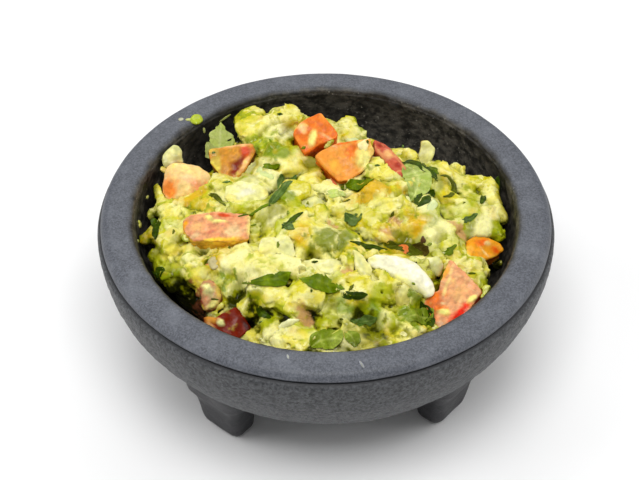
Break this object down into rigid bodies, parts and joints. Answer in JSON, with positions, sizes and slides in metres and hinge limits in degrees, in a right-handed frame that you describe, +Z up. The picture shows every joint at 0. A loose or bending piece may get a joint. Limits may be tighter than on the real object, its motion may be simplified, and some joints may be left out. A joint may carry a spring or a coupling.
{
  "type": "guacamole",
  "caption": "Round thick-walled bowl on short feet, heaped with chunky avocado mash that holds diced tomato and onion.",
  "frame": {"origin": "on the table, under the middle of the bowl", "axes": "+Z up, -Y towards the front, where the heap is seen from; the feet stand on the diagonals between +X and +Y"},
  "size_m": [0.13, 0.13, 0.0602],
  "materials": {
    "bowl": "moulded stone grain",
    "avocado": "wet",
    "tomato": "wet",
    "onion": "wet"
  },
  "bodies": {
    "root": {"bowl": "bowl", "guacamole": "avocado", "tomato_1": "tomato", "tomato_2": "tomato", "tomato_3": "tomato", "tomato_4": "tomato", "tomato_5": "tomato", "tomato_6": "tomato", "tomato_7": "tomato", "tomato_8": "tomato", "tomato_9": "tomato", "tomato_10": "tomato", "onion_1": "onion", "onion_2": "onion", "onion_3": "onion", "onion_4": "onion", "onion_5": "onion", "onion_6": "onion", "onion_7": "onion", "onion_8": "onion", "onion_9": "onion", "onion_10": "onion"}
  },
  "joints": []
}
